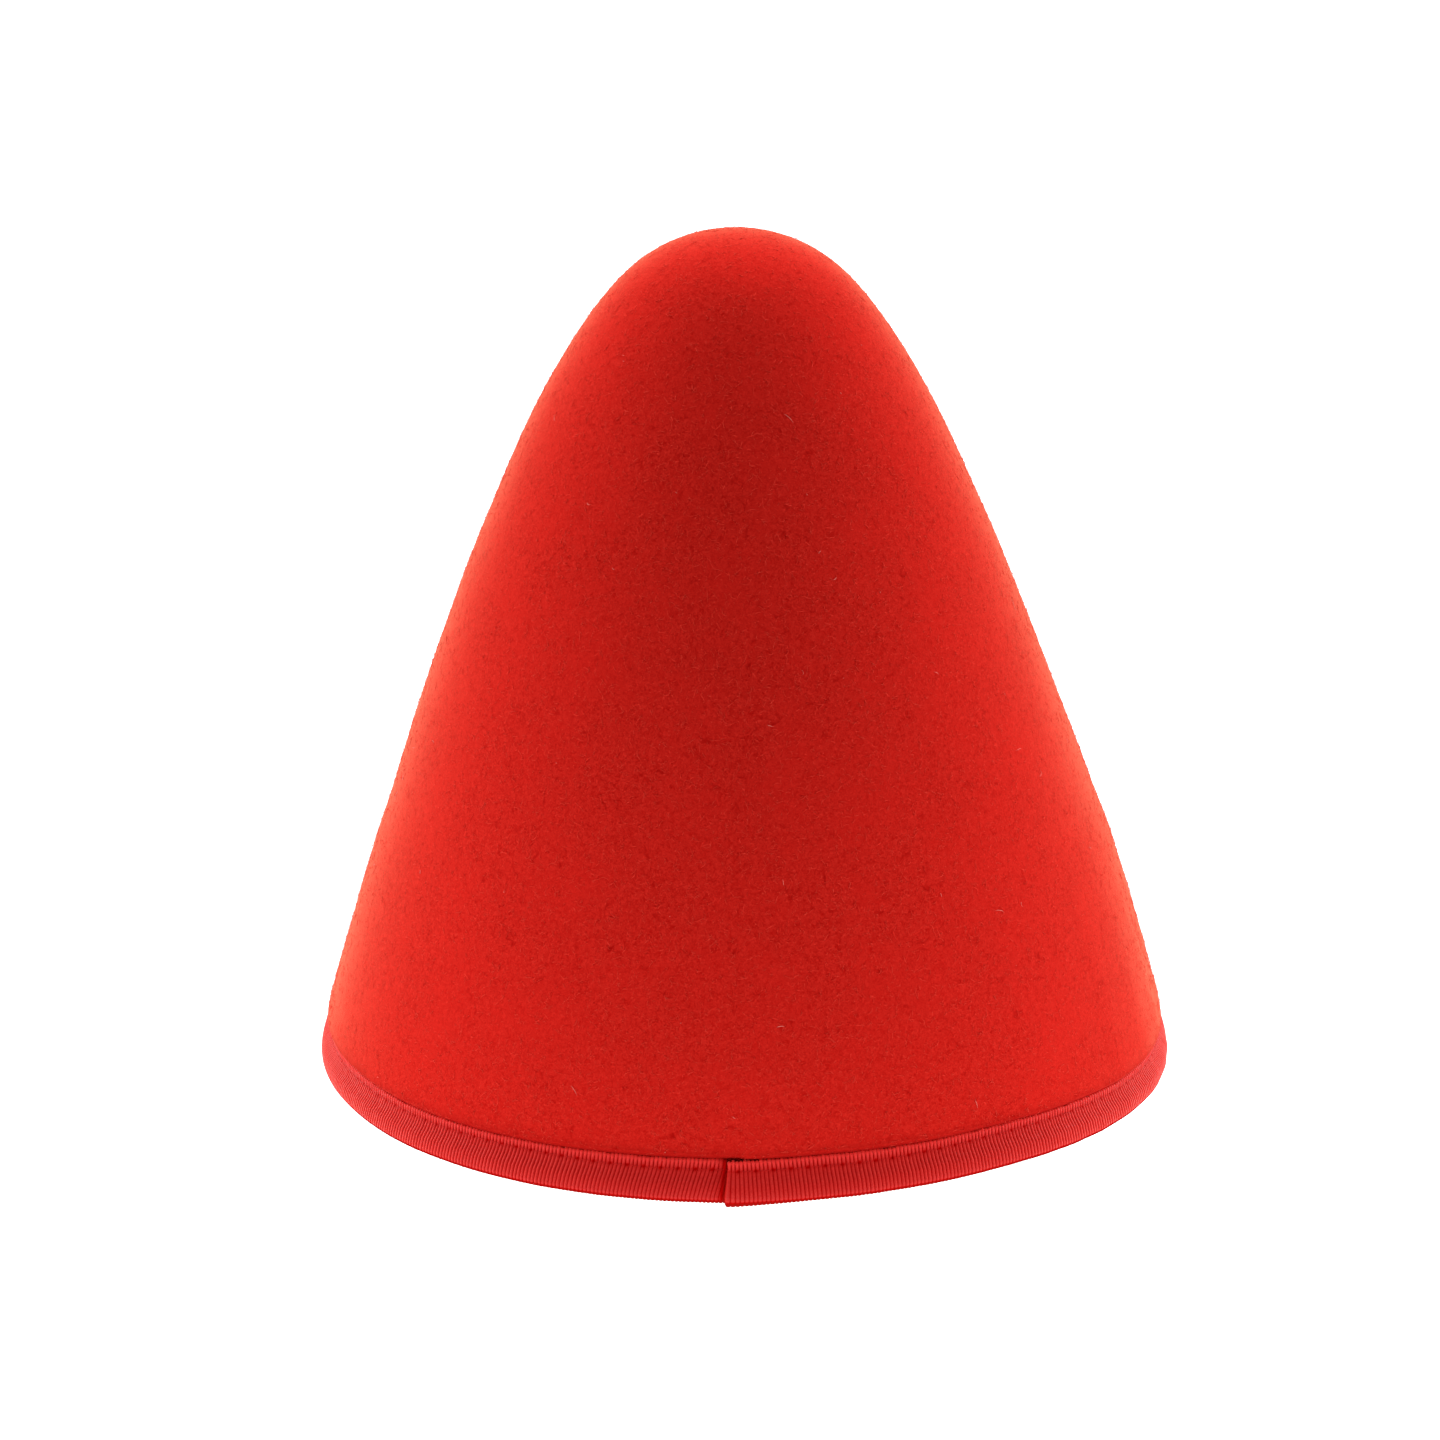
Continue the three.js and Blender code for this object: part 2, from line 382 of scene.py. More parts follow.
class Lumps:
    """Gentle unevenness of the felt: a few broad waves round and down the cone."""

    def __init__(self):
        self.round = random.integers(*LUMP_ROUND, LUMP_COUNT)
        self.down = random.uniform(*LUMP_DOWN, LUMP_COUNT)
        self.turn = random.uniform(0, 2 * math.pi, LUMP_COUNT)
        self.slide = random.uniform(0, 2 * math.pi, LUMP_COUNT)
        self.size = LUMP_SIZE / np.sqrt(self.round / LUMP_ROUND[0])

    def at(self, along, angle):
        total = 0
        for i in range(LUMP_COUNT):
            round_wave = np.cos(self.round[i] * angle + self.turn[i])
            down_wave = np.cos(self.down[i] * 2 * math.pi * along / outline.length + self.slide[i])
            total = total + self.size[i] * round_wave * down_wave
        far, near = LUMP_FROM_RIM
        dies_away = smoothstep(along, outline.length - far, outline.length - near)
        return total * smoothstep(along, *LUMP_FROM_TIP) * (1 - dies_away)


lumps = Lumps()


def squeeze_at(height):
    """How far the ribbon presses each side of the felt in at a height."""
    return SQUEEZE * (1 - smoothstep(height, SQUEEZE_TOP, SQUEEZE_TOP + SQUEEZE_FADE))


def felt_outside(along, angle, above=0):
    """Points on the outside of the felt, or a little above it."""
    radius, height, out_radius, out_height = outline.at(along)
    over_ribbon = height + leg_drop(from_lap(angle))
    out = above - squeeze_at(over_ribbon) + table_at(FLANK_PLACES, over_ribbon, 1) + lumps.at(along, angle)
    return stand(radius + out_radius * out, angle, height + out_height * out)


def felt_inside(along, angle):
    radius, height, out_radius, out_height = outline.at(along)
    out = squeeze_at(height) - FELT_THICKNESS
    inside_height = np.maximum(height + out_height * out, RIM_HEIGHT)
    return stand(np.maximum(radius + out_radius * out, 0), angle, inside_height)


def make_felt(material):
    """The felt cone as one closed shell: down the outside from the tip, across the cut edge and up inside."""
    fine_start = float(outline.from_height(FELT_FINE_TOP))
    fine_end = float(outline.from_height(FELT_FINE_BOTTOM))
    coarse = np.linspace(FELT_ROW, fine_start, int(fine_start / FELT_ROW))[:-1]
    fine = np.arange(fine_start, fine_end, FELT_FINE_ROW)
    hidden = np.linspace(fine_end, outline.length, FELT_HIDDEN_ROWS)
    down = np.concatenate([coarse, fine, hidden])
    up = np.linspace(outline.length, FELT_INSIDE_ROW, int(outline.length / FELT_INSIDE_ROW))
    angle = np.linspace(0, 2 * math.pi, FELT_SEGMENTS, endpoint=False)
    outside = felt_outside(*np.broadcast_arrays(down[:, None], angle[None, :]))
    inside = felt_inside(*np.broadcast_arrays(up[:, None], angle[None, :]))
    rings = np.concatenate([outside, inside]).reshape(-1, 3)
    ring_count = len(down) + len(up)
    top = felt_outside(np.zeros(1), np.zeros(1))
    ceiling = felt_inside(np.zeros(1), np.zeros(1))
    points = np.vstack([rings, top, ceiling])
    faces = grid_faces(ring_count, FELT_SEGMENTS, True).tolist()
    top_index = len(rings)
    ceiling_index = top_index + 1
    last_ring = (ring_count - 1) * FELT_SEGMENTS
    for i in range(FELT_SEGMENTS):
        beside = (i + 1) % FELT_SEGMENTS
        faces.append([top_index, i, beside])
        faces.append([ceiling_index, last_ring + beside, last_ring + i])
    piece = add_piece("felt_shell", points, faces, material)
    # Painted shade on the felt above the ribbon's top edge: whole below TUCK_HEIGHT, fading upwards and
    # weaker at the sides
    above_tuck = outline.at(down)[1][:, None] + leg_drop(from_lap(angle)) - TUCK_HEIGHT
    tuck_shade = TUCK_SHADE * with_sides(angle, TUCK_SIDES) * np.exp(-np.maximum(above_tuck, 0) / TUCK_FADE)
    add_values(piece, "painted_shade", np.concatenate([tuck_shade.ravel(), np.zeros(len(points) - tuck_shade.size)]))
    return piece


def strip_angle(along):
    """The angle at a distance along the ribbon from its hidden end."""
    return LAP_ANGLE + LAP_SPAN - along / STRIP_RADIUS


def from_lap(angle):
    """The distance along the ribbon at an angle: the other way round from strip_angle."""
    return ((LAP_ANGLE + LAP_SPAN - angle) % (2 * math.pi)) * STRIP_RADIUS


def lap_share(along):
    """1 at the ribbon's outer end, and 0 where it lies on the felt again."""
    return (1 - smoothstep(STRIP_LENGTH - along, *LAP_FADE)) / (1 - smoothstep(0, *LAP_FADE))


def lap_rounding(along):
    """How far the edge of the ribbon's outer end is rounded in."""
    past_start = np.maximum(LAP_ROUNDING - (STRIP_LENGTH - along), 0)
    return LAP_ROUNDING - np.sqrt(np.maximum(LAP_ROUNDING**2 - past_start**2, 0))


def leg_drop(along):
    """How far the outside leg's top edge lies below its usual height."""
    return round_at(EDGE_PLACES, strip_angle(along), 1) + LAP_SAG * lap_share(along)


def stitch_sag(along):
    """How far the outside stitches lie below their usual place on the leg."""
    return round_at(EDGE_PLACES, strip_angle(along), 2)


def stitch_pull(along):
    """How far the stitches pull the ribbon in along their line."""
    beside = (along % STITCH_LENGTH) - STITCH_LENGTH / 2
    return STITCH_GROOVE + STITCH_DENT * np.exp(-((beside / DENT_WIDTH) ** 2) / 2)


def painted_stitch_shade(along):
    """How dark the painted shade along the stitches is."""
    dent = stitch_pull(along) - STITCH_GROOVE
    shade = STITCH_SHADE + (STITCH_HOLE - STITCH_SHADE) * dent / STITCH_DENT
    return shade * with_sides(strip_angle(along), STITCH_SIDES)


def rib_shift(along, drop):
    """How far the slanting ribs have moved along the ribbon at a distance below the stitches."""
    to_end = STRIP_LENGTH - along
    left = math.tan(LEFT_SLANT) * np.exp(-along / SLANT_FADE)
    right = math.tan(RIGHT_SLANT) * np.exp(-to_end / SLANT_FADE) * (1 - np.exp(-to_end / RIGHT_SLANT_RISE))
    if drop < 0:
        left = LEFT_SELVEDGE_SLANT * left
        right = RIGHT_SELVEDGE_SLANT * right
    return left * drop - right * drop


def ribbon_section():
    """The closed section of the ribbon: its rows' points, facings and what each row takes part in."""
    up = np.array([-math.sin(RIBBON_LEAN), math.cos(RIBBON_LEAN)])
    facings = {OUTSIDE: RIBBON_LEAN, INSIDE: RIBBON_LEAN - math.pi}
    flares = {OUTSIDE: LEG_FLARE, INSIDE: 0}
    rows = []

    def way(facing):
        return np.array([math.cos(facing), math.sin(facing)])

    def add_row(side, point, out, above, rib, stitch=0.0, scallop=0.0, valley_shade_share=1.0):
        # Share of the painted shade under the fold, where the ribbon faces down
        under = smoothstep(-out[1], *FOLD_UNDER)
        rows.append({"side": side, "point": point, "out": out, "above": above, "under": under,
                     "rib": rib, "stitch": stitch, "scallop": scallop, "valley_shade_share": valley_shade_share})

    def add_front_row(side, above, rib, stitch, valley_shade_share):
        out = way(facings[side])
        flare = flares[side] * (1 - smoothstep(above, *LEG_FLARE_RISE))
        point = np.array(FELT_MIDDLE) + up * above + out * (HALF_WIDTH + flare)
        add_row(side, point, out, above, rib, stitch, valley_shade_share=valley_shade_share)

    def add_back_row(side, above, depth, rib=0.0, scallop=0.0):
        out = way(facings[side])
        point = np.array(FELT_MIDDLE) + up * above + out * (HALF_WIDTH - depth)
        add_row(side, point, out, above, rib, scallop=scallop)

    def add_fold(side):
        across = np.array(FELT_MIDDLE) + way(facings[side]) * (HALF_WIDTH - FOLD_RADII[side] + flares[side])
        fold_height = FOLD_RADII[side] + RIB_RELIEF * FOLD_RELIEF
        centre = across + up * (fold_height - across[1]) / up[1]
        for degrees in FOLD_FACINGS[side]:
            out = way(math.radians(degrees))
            add_row(side, centre + FOLD_RADII[side] * out, out, 0, FOLD_RELIEF)

    add_back_row(OUTSIDE, OUTSIDE_LEG - BACK_TOP, RIBBON_THICKNESS)
    add_back_row(OUTSIDE, OUTSIDE_LEG, RIBBON_THICKNESS / 2, EDGE_RELIEF, scallop=1)
    for drop, rib, stitch, valley_shade_share in OUTSIDE_ROWS:
        add_front_row(OUTSIDE, OUTSIDE_LEG - drop, rib, stitch, valley_shade_share)
    add_fold(OUTSIDE)
    add_fold(INSIDE)
    for drop, rib, stitch, valley_shade_share in INSIDE_ROWS:
        add_front_row(INSIDE, INSIDE_LEG - drop, rib, stitch, valley_shade_share)
    add_back_row(INSIDE, INSIDE_LEG, RIBBON_THICKNESS / 2, EDGE_RELIEF, scallop=1)
    add_back_row(INSIDE, INSIDE_LEG - BACK_TOP, RIBBON_THICKNESS)
    for side, above in BACK_FEET.items():
        add_back_row(side, above, RIBBON_THICKNESS)
    return rows


def rib_columns():
    """Distances along the ribbon, four to a rib, and the relief, selvedge height and painted valley shade at
    each.
    """
    count = round(STRIP_LENGTH / RIB_PITCH)
    width = random.normal(1, RIB_WIDTH_SPREAD, count).clip(*RIB_WIDTHS)
    start = np.concatenate([[0], np.cumsum(width)])
    start *= STRIP_LENGTH / start[-1]
    place, relief, shade = np.array(RIB_PLACES).T
    along = (start[:-1, None] + place * np.diff(start)[:, None]).ravel()
    height = (relief * random.normal(1, RIB_HEIGHT_SPREAD, count).clip(*RIB_HEIGHTS)[:, None]).ravel()
    scallop = random.normal(0, SELVEDGE_SPREAD, count).clip(-SELVEDGE_MOST, SELVEDGE_MOST)
    edge = np.repeat(scallop, len(RIB_PLACES)) + height - SELVEDGE_MIDDLE
    # Painted shade in the valleys between the ribs
    painted_valley_shade = np.append(np.tile(VALLEY_SHADE * shade, count), VALLEY_SHADE)
    return np.append(along, STRIP_LENGTH), np.append(height, 0), np.append(edge, -SELVEDGE_MIDDLE), painted_valley_shade


def make_ribbon(material):
    """The grosgrain ribbon, folded over the felt's edge and lapped at the front."""
    along, relief, edge, painted_valley_shade = rib_columns()
    rows = ribbon_section()
    row_count = len(rows)
    stitch_above = OUTSIDE_LEG - STITCH_DROP
    lapped = LAP_STEP * lap_share(along) - lap_rounding(along)
    past_corner = LAP_CORNER * np.exp(along - STRIP_LENGTH)
    grid = np.empty((len(along), row_count, 3))
    painted_shade = np.empty((len(along), row_count))
    selvedge_highlight = np.zeros((len(along), row_count))
    for i, row in enumerate(rows):
        is_outside = row["side"] == OUTSIDE
        above = row["above"]
        drop = stitch_above - above if is_outside else stitch_above
        shift = rib_shift(along, drop)
        share_down = np.clip(drop / stitch_above, 0, 1)
        raised = SELVEDGE_SCALLOP * edge * row["scallop"]
        if is_outside:
            share_up = max(above, 0) / OUTSIDE_LEG
            share_sag = max(min((OUTSIDE_LEG - above) / STITCH_DROP, above / stitch_above, 1), 0)
            raised = raised - leg_drop(along) * share_up - stitch_sag(along) * share_sag
            # Painted highlight on the selvedge, fading out below the top edge
            selvedge_highlight[:, i] = 1 - smoothstep(OUTSIDE_LEG - above, *SELVEDGE_HIGHLIGHT_FADE)
        out = lapped + RIB_RELIEF * relief * row["rib"] - stitch_pull(along) * row["stitch"]
        radius = row["point"][0] + row["out"][0] * out - math.sin(RIBBON_LEAN) * raised
        height = row["point"][1] + row["out"][1] * out + math.cos(RIBBON_LEAN) * raised
        grid[:, i] = stand(radius, strip_angle(along + shift + past_corner * share_down), height)
        # Painted shade: the darkest of that in the valleys, beside the lap's edge, along the stitches and
        # under the fold
        beside_lap = along + shift - LAP_SPAN * STRIP_RADIUS - LAP_CORNER * share_down
        painted_shades = [
            painted_valley_shade * row["valley_shade_share"],
            # painted shadow beside the lap's edge
            np.exp(-np.maximum(beside_lap, 0) / LAP_SHADE),
            painted_stitch_shade(along) * row["stitch"],
            np.full(len(along), FOLD_SHADE * row["under"]),
        ]
        painted_shade[:, i] = np.max(painted_shades, axis=0)
    faces = grid_faces(len(along), row_count, True).tolist()
    outer_end = (len(along) - 1) * row_count
    faces.append(list(range(row_count)))
    faces.append(list(range(outer_end + row_count - 1, outer_end - 1, -1)))
    piece = add_piece("ribbon_folded", grid.reshape(-1, 3), faces, material)
    add_values(piece, "painted_shade", painted_shade)
    add_values(piece, "selvedge_highlight", selvedge_highlight)
    return piece


def tubes(paths, radii, sides):
    """Closed tubes round many paths of points, with pointed ends."""
    count, stations, _ = paths.shape
    forward = np.gradient(paths, axis=1)
    forward /= np.linalg.norm(forward, axis=2, keepdims=True)
    helper = np.where(np.abs(forward[..., 2:3]) > STEEP, np.array([1.0, 0, 0]), np.array([0, 0, 1.0]))
    side = np.cross(forward, helper)
    side /= np.linalg.norm(side, axis=2, keepdims=True)
    other = np.cross(side, forward)
    turn = np.arange(sides) * 2 * math.pi / sides
    ring = side[:, 1:-1, None] * np.cos(turn)[:, None] + other[:, 1:-1, None] * np.sin(turn)[:, None]
    rings = paths[:, 1:-1, None] + ring * radii[:, None, None, None]
    points = np.concatenate([rings.reshape(count, -1, 3), paths[:, :1], paths[:, -1:]], axis=1)
    ring_count = stations - 2
    start_index = ring_count * sides
    end_index = start_index + 1
    near = np.arange(sides)
    beside = (near + 1) % sides
    last_ring = (ring_count - 1) * sides
    quads = grid_faces(ring_count, sides, True)
    first = np.stack([near, beside, np.full(sides, start_index)], axis=1)
    last = np.stack([last_ring + beside, last_ring + near, np.full(sides, end_index)], axis=1)
    offsets = (np.arange(count) * (end_index + 1))[:, None, None]
    faces = (quads + offsets).reshape(-1, 4).tolist()
    faces += (np.vstack([first, last]) + offsets).reshape(-1, 3).tolist()
    return points.reshape(-1, 3), faces


def make_stitches(material):
    """The thread that shows between the stitch holes, outside and inside."""
    up = np.array([-math.sin(RIBBON_LEAN), math.cos(RIBBON_LEAN)])
    count = int(STRIP_LENGTH / STITCH_LENGTH) - 1
    middle = (np.arange(count) + 1) * STITCH_LENGTH
    reach = np.linspace(-0.5, 0.5, STITCH_STATIONS)
    along = middle[:, None] + reach * (STITCH_LENGTH - STITCH_GAP)
    sink = THREAD_SINK * (2 * np.abs(reach)) ** THREAD_SINK_POWER
    out = HALF_WIDTH + LAP_STEP * lap_share(along) + RIB_RELIEF * THREAD_SEAT - STITCH_GROOVE - sink
    stitch_share = (OUTSIDE_LEG - STITCH_DROP) / OUTSIDE_LEG
    lowered = leg_drop(along) * stitch_share + stitch_sag(along)
    legs = [(RIBBON_LEAN, OUTSIDE_LEG, lowered), (RIBBON_LEAN - math.pi, INSIDE_LEG, 0)]
    paths = []
    for facing, leg, below in legs:
        above = leg - STITCH_DROP - below
        radius = FELT_MIDDLE[0] + up[0] * above + math.cos(facing) * out
        height = FELT_MIDDLE[1] + up[1] * above + math.sin(facing) * out
        paths.append(stand(radius, strip_angle(along), height))
    paths = np.concatenate(paths)
    points, faces = tubes(paths, np.full(len(paths), THREAD_RADIUS), THREAD_SIDES)
    return add_piece("stitch_thread", points, faces, material)


def fuzz_end(angle):
    """How far down the outline the fuzz reaches at an angle."""
    return outline.from_height(FUZZ_BOTTOM - leg_drop(from_lap(angle)))


def fuzz_places(count):
    """Places spread evenly over the felt's outside, above the ribbon."""
    along = np.linspace(0, float(outline.from_height(FUZZ_BOTTOM)), SPREAD_STEPS)
    radius = np.interp(along, outline.along, outline.points[:, 0])
    share = np.cumsum(radius)
    share /= share[-1]
    reach = np.interp(random.uniform(0, 1, count), share, along) / along[-1]
    angle = random.uniform(0, 2 * math.pi, count)
    return reach * fuzz_end(angle), angle


def fibre_lengths(count, shortest, longest):
    return shortest + (longest - shortest) * random.uniform(0, 1, count) ** SHORT_POWER


def curl_paths(along, angle, length, height, bend):
    """Paths of fibres that lie curled on the felt from their places."""
    stations = np.linspace(0, 1, len(FIBRE_RISE))
    heading = random.uniform(0, 2 * math.pi, len(along))
    way = heading[:, None] + bend[:, None] * (stations - 0.5)
    step = length[:, None] / (len(stations) - 1)
    sideways = np.cumsum(np.cos(way) * step, axis=1)
    downward = np.cumsum(np.sin(way) * step, axis=1)
    radius = np.maximum(np.interp(along, outline.along, outline.points[:, 0]), LEAST_RADIUS)
    lowest = fuzz_end(angle)[:, None]
    place_along = np.maximum(lowest - np.abs(lowest - along[:, None] - downward), TIP_CLEARANCE)
    place_angle = angle[:, None] + sideways / radius[:, None]
    return felt_outside(place_along, place_angle, height[:, None] * np.array(FIBRE_RISE))


def make_fuzz(material):
    """Short curled fibres all over the felt."""
    for i in range(FUZZ_PIECES):
        along, angle = fuzz_places(FUZZ_PER_PIECE)
        length = fibre_lengths(FUZZ_PER_PIECE, *FUZZ_LENGTH)
        height = FUZZ_HEIGHT + random.exponential(FUZZ_LOFT, FUZZ_PER_PIECE).clip(0, FUZZ_LOFT_MOST)
        bend = random.normal(0, FUZZ_BEND, FUZZ_PER_PIECE)
        paths = curl_paths(along, angle, length, height, bend)
        radii = random.uniform(*FUZZ_RADIUS, FUZZ_PER_PIECE)
        points, faces = tubes(paths, radii, FUZZ_SIDES)
        add_piece(f"felt_fuzz_{i + 1}", points, faces, material)


def make_lint(material):
    """A few paler specks and stray fibres that cling to the felt."""
    along, angle = fuzz_places(LINT_COUNT)
    length = fibre_lengths(LINT_COUNT, *LINT_LENGTH)
    height = random.uniform(*LINT_HEIGHT, LINT_COUNT)
    bend = random.normal(0, LINT_BEND, LINT_COUNT)
    paths = curl_paths(along, angle, length, height, bend)
    radii = random.uniform(*LINT_RADIUS, LINT_COUNT)
    points, faces = tubes(paths, radii, LINT_SIDES)
    add_piece("felt_lint", points, faces, material)


def set_inputs(node, values):
    """Fixed values for some of a node's inputs, by name."""
    for name, value in values.items():
        node.inputs[name].default_value = value


def new_material(name, colour, roughness):
    material = bpy.data.materials.new(name)
    material.use_nodes = True
    shader = material.node_tree.nodes["Principled BSDF"]
    set_inputs(shader, {"Base Color": (*colour, 1), "Roughness": roughness})
    return material, shader


def noise(tree, place, scale, detail, distortion):
    node = tree.nodes.new("ShaderNodeTexNoise")
    set_inputs(node, {"Scale": scale, "Detail": detail, "Roughness": 0.65, "Distortion": distortion})
    tree.links.new(place, node.inputs["Vector"])
    return node.outputs["Fac"]


def spread(tree, value, low, high):
    """Stretches a value's range from low to high over 0 to 1, turned round where low is the greater."""
    node = tree.nodes.new("ShaderNodeMapRange")
    set_inputs(node, {"From Min": low, "From Max": high})
    tree.links.new(value, node.inputs["Value"])
    return node.outputs["Result"]


def calculate(tree, operation, first, second):
    """The result of an operation on one node's value and either a fixed number or another node's value."""
    node = tree.nodes.new("ShaderNodeMath")
    node.operation = operation
    tree.links.new(first, node.inputs[0])
    if isinstance(second, (int, float)):
        node.inputs[1].default_value = second
    else:
        tree.links.new(second, node.inputs[1])
    return node.outputs["Value"]


def blend(tree, factor, first, second):
    """A colour between two, either of which may be fixed or come from another node."""
    node = tree.nodes.new("ShaderNodeMix")
    node.data_type = "RGBA"
    tree.links.new(factor, node.inputs["Factor"])
    for socket, colour in ((node.inputs[6], first), (node.inputs[7], second)):
        if isinstance(colour, tuple):
            socket.default_value = (*colour, 1)
        else:
            tree.links.new(colour, socket)
    return node.outputs[2]


def point_value(tree, name):
    """A value that add_values gave to the piece's points."""
    node = tree.nodes.new("ShaderNodeAttribute")
    node.attribute_name = name
    return node.outputs["Fac"]


def felt_material():
    """Mottled felt with a fine nap, and painted shade where it tucks in behind the ribbon."""
    material, shader = new_material("red_wool_felt", FELT_COLOUR, roughness=0.95)
    set_inputs(shader, {"Specular IOR Level": 0.03, "Sheen Roughness": 0.3, "Sheen Tint": (*FELT_SHEEN, 1)})
    tree = material.node_tree
    place = tree.nodes.new("ShaderNodeTexCoord").outputs["Object"]
    fibres = noise(tree, place, scale=1500, detail=4, distortion=1.4)
    tufts = noise(tree, place, scale=520, detail=3, distortion=0.8)
    patches = noise(tree, place, scale=70, detail=3, distortion=0)
    fine = blend(tree, spread(tree, fibres, low=0.3, high=0.7), *FELT_FIBRES)
    pitted = blend(tree, spread(tree, tufts, low=0.42, high=0.28), fine, FELT_PITS)
    patched = blend(tree, spread(tree, patches, low=0.4, high=1.1), pitted, FELT_PATCHES)
    painted_shade = point_value(tree, "painted_shade")
    tree.links.new(blend(tree, painted_shade, patched, FELT_TUCK_SHADE), shader.inputs["Base Color"])
    # The painted shade also takes the felt's sheen away there
    tree.links.new(spread(tree, painted_shade, low=0.5, high=0), shader.inputs["Sheen Weight"])
    bump = tree.nodes.new("ShaderNodeBump")
    set_inputs(bump, {"Strength": 0.55, "Distance": 0.00012})
    tree.links.new(fibres, bump.inputs["Height"])
    tree.links.new(bump.outputs["Normal"], shader.inputs["Normal"])
    return material


def fuzz_material():
    material, shader = new_material("red_wool_fuzz", FUZZ_COLOUR, roughness=0.9)
    set_inputs(shader, {"Specular IOR Level": 0.06, "Sheen Weight": 0.15, "Sheen Tint": (*FUZZ_SHEEN, 1)})
    return material


def lint_material():
    material, shader = new_material("pale_lint", LINT_COLOUR, roughness=0.9)
    set_inputs(shader, {"Specular IOR Level": 0.2})
    return material


def ribbon_material():
    """Satin yarns with painted sheen where seen aslant, painted shade in the valleys between the ribs and in
    the creases, a painted highlight on the selvedge, and gloss on the crests alone.
    """
    material, shader = new_material("red_grosgrain_ribbon", RIBBON_COLOUR, roughness=0.5)
    set_inputs(shader, {"Sheen Roughness": 0.28, "Sheen Tint": (*RIBBON_SHEEN, 1)})
    tree = material.node_tree
    place = tree.nodes.new("ShaderNodeTexCoord").outputs["Object"]
    yarns = noise(tree, place, scale=2600, detail=2, distortion=0.4)
    open_colour = blend(tree, spread(tree, yarns, low=0.25, high=0.75), *RIBBON_YARNS)
    # Painted sheen: the base colour turns paler where the ribbon is seen aslant
    aslant = tree.nodes.new("ShaderNodeLayerWeight")
    set_inputs(aslant, {"Blend": 0.45})
    painted_sheen_colour = blend(tree, aslant.outputs["Facing"], open_colour, RIBBON_PAINTED_SHEEN)
    # Painted highlight on the selvedge
    highlighted = blend(tree, point_value(tree, "selvedge_highlight"), painted_sheen_colour, SELVEDGE_HIGHLIGHT)
    # Painted shade: darker in the valleys between the ribs, darker still in the stitch holes, beside the lap
    # and under the fold
    painted_shade = point_value(tree, "painted_shade")
    valley_shaded = blend(tree, spread(tree, painted_shade, low=0, high=VALLEY_SHADE), highlighted, VALLEY_SHADE_COLOUR)
    shade_painted = blend(tree, spread(tree, painted_shade, low=VALLEY_SHADE, high=1), valley_shaded, PAINTED_SHADE_COLOUR)
    tree.links.new(shade_painted, shader.inputs["Base Color"])
    # Sheen and gloss only where there is no painted shade
    crest = spread(tree, painted_shade, low=VALLEY_SHADE, high=0)
    tree.links.new(crest, shader.inputs["Sheen Weight"])
    tree.links.new(calculate(tree, "MULTIPLY", crest, CREST_GLOSS), shader.inputs["Specular IOR Level"])
    return material


def thread_material():
    material, shader = new_material("red_sewing_thread", THREAD_COLOUR, roughness=0.55)
    set_inputs(shader, {"Specular IOR Level": 0.05})
    return material


def make_floor():
    """A plain white floor that glows like a light table, and ends in front of the hat, out of the picture."""
    front = FLOOR_FRONT * MM
    reach = FLOOR_REACH * MM
    corners = [(-reach, front, 0), (reach, front, 0), (reach, reach, 0), (-reach, reach, 0)]
    mesh = bpy.data.meshes.new("floor")
    mesh.from_pydata(corners, [], [(0, 1, 2, 3)])
    floor = bpy.data.objects.new("floor", mesh)
    bpy.context.scene.collection.objects.link(floor)
    material, shader = new_material("white_floor", BLACK, roughness=1)
    glow = {"Emission Color": (*WHITE, 1), "Emission Strength": FLOOR_GLOW}
    set_inputs(shader, {"Specular IOR Level": 0, **glow})
    mesh.materials.append(material)


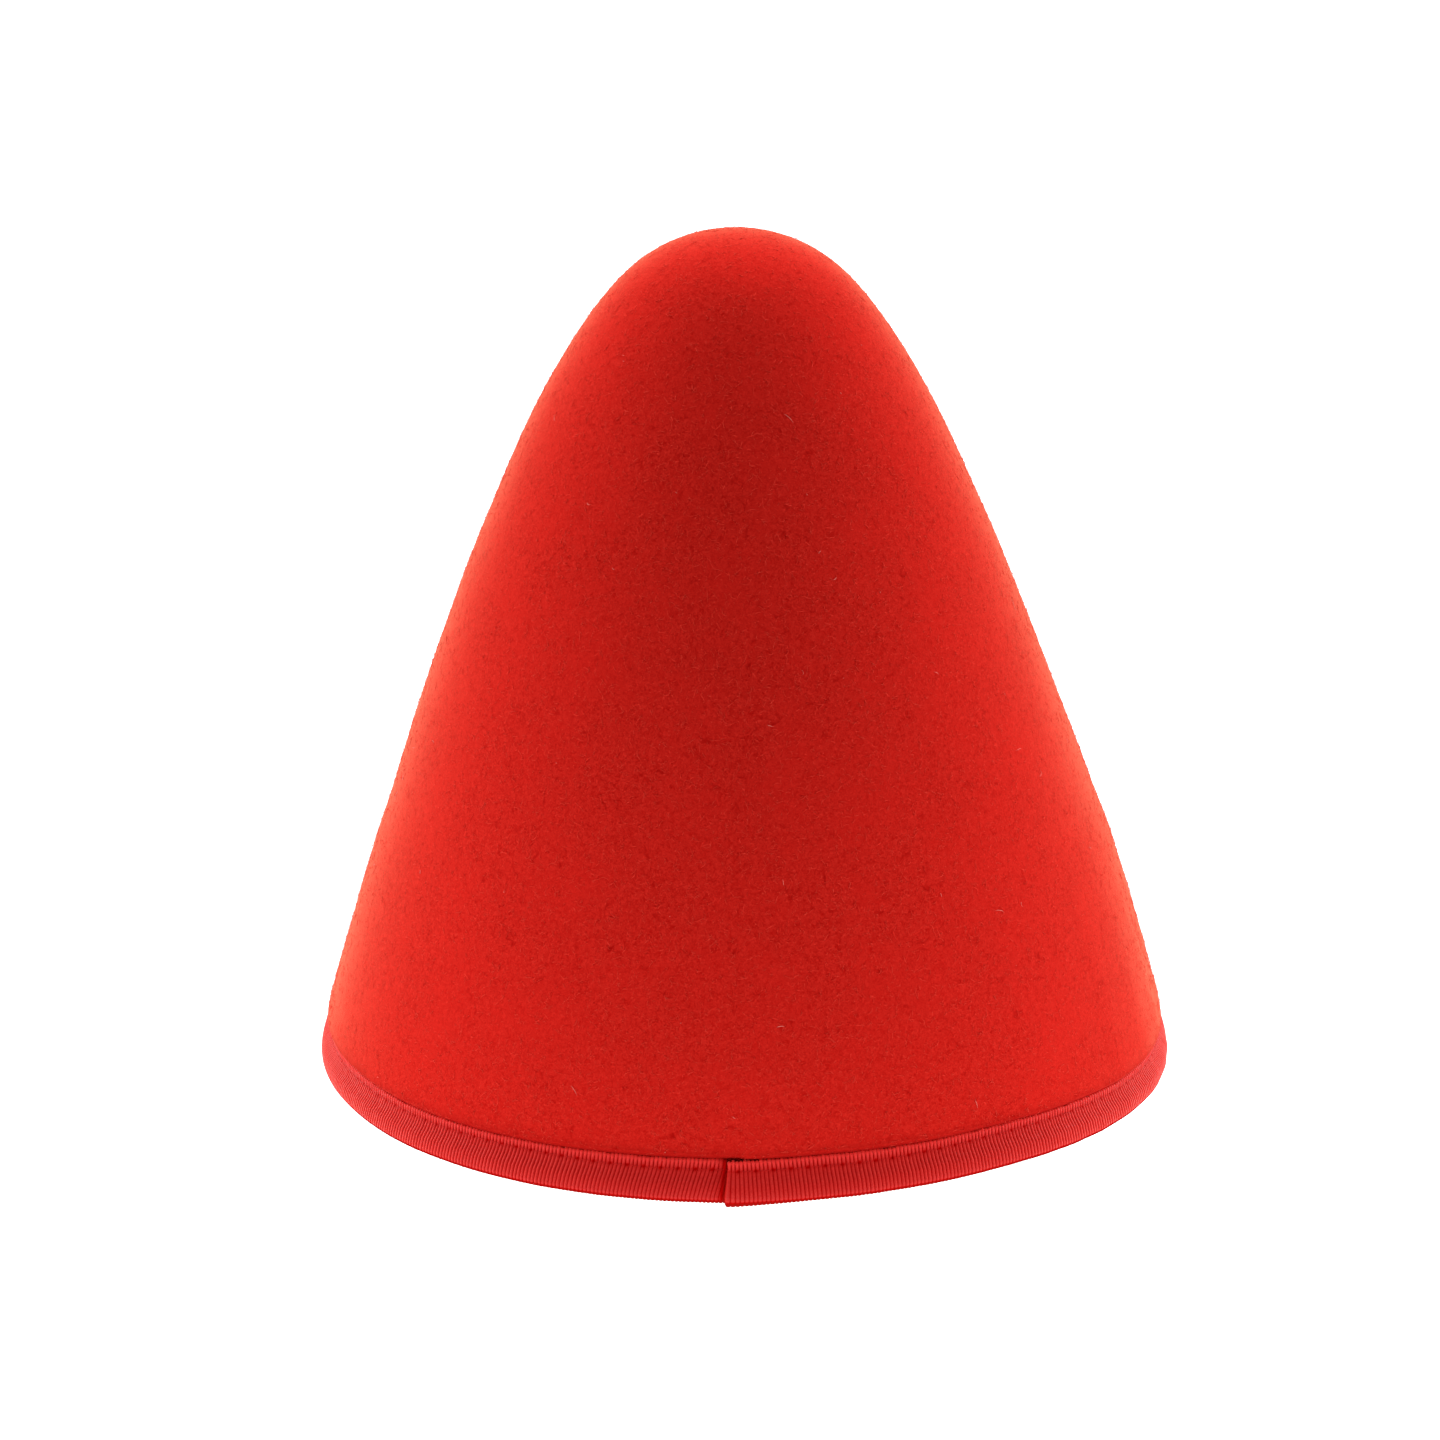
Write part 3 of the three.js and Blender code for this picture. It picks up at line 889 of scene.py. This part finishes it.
def make_light():
    """A light tent: bright at the sides, above and behind, and dim at the front, where the camera is."""
    world = bpy.data.worlds.new("light_tent")
    bpy.context.scene.world = world
    world.use_nodes = True
    tree = world.node_tree
    tent = tree.nodes["Background"]
    set_inputs(tent, {"Color": (*WHITE, 1)})
    way = tree.nodes.new("ShaderNodeTexCoord").outputs["Generated"]
    split = tree.nodes.new("ShaderNodeSeparateXYZ")
    tree.links.new(way, split.inputs["Vector"])
    ramp = tree.nodes.new("ShaderNodeValToRGB")
    tree.links.new(spread(tree, split.outputs["Y"], low=-1, high=1), ramp.inputs["Fac"])
    stops = ramp.color_ramp.elements
    while len(stops) < len(TENT_STOPS):
        stops.new(1)
    for stop, (place, glow) in zip(stops, TENT_STOPS):
        stop.position = place
        stop.color = (glow, glow, glow, 1)
    round_glow = calculate(tree, "MULTIPLY", ramp.outputs["Color"], TENT_GLOW)
    upward = calculate(tree, "MAXIMUM", split.outputs["Z"], 0)
    gathered = calculate(tree, "POWER", upward, ZENITH_POWER)
    overhead = calculate(tree, "MULTIPLY", gathered, ZENITH_GLOW)
    tree.links.new(calculate(tree, "ADD", round_glow, overhead), tent.inputs["Strength"])
    backdrop = tree.nodes.new("ShaderNodeBackground")
    set_inputs(backdrop, {"Color": (*WHITE, 1), "Strength": BACKDROP_GLOW})
    seen = tree.nodes.new("ShaderNodeLightPath").outputs["Is Camera Ray"]
    both = tree.nodes.new("ShaderNodeMixShader")
    tree.links.new(seen, both.inputs["Fac"])
    tree.links.new(tent.outputs["Background"], both.inputs[1])
    tree.links.new(backdrop.outputs["Background"], both.inputs[2])
    tree.links.new(both.outputs["Shader"], tree.nodes["World Output"].inputs["Surface"])


def make_camera():
    data = bpy.data.cameras.new("camera")
    data.lens = CAMERA_LENS
    data.sensor_width = SENSOR_WIDTH
    camera = bpy.data.objects.new("camera", data)
    bpy.context.scene.collection.objects.link(camera)
    aim = Vector(CAMERA_AIM) * MM
    back = Vector((0, -math.cos(CAMERA_HEIGHT), math.sin(CAMERA_HEIGHT)))
    turn = back.to_track_quat("Z", "Y").to_matrix().to_4x4() @ Matrix.Rotation(CAMERA_ROLL, 4, "Z")
    camera.matrix_world = Matrix.Translation(aim + back * CAMERA_DISTANCE * MM) @ turn
    bpy.context.scene.camera = camera


shell = make_felt(felt_material())
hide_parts("felt_cone")
binding = make_ribbon(ribbon_material())
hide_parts("rim_binding")
make_stitches(thread_material())
make_fuzz(fuzz_material())
make_lint(lint_material())
make_floor()
make_light()
make_camera()

view = bpy.context.scene.view_settings
view.view_transform = "Standard"
view.look = "None"
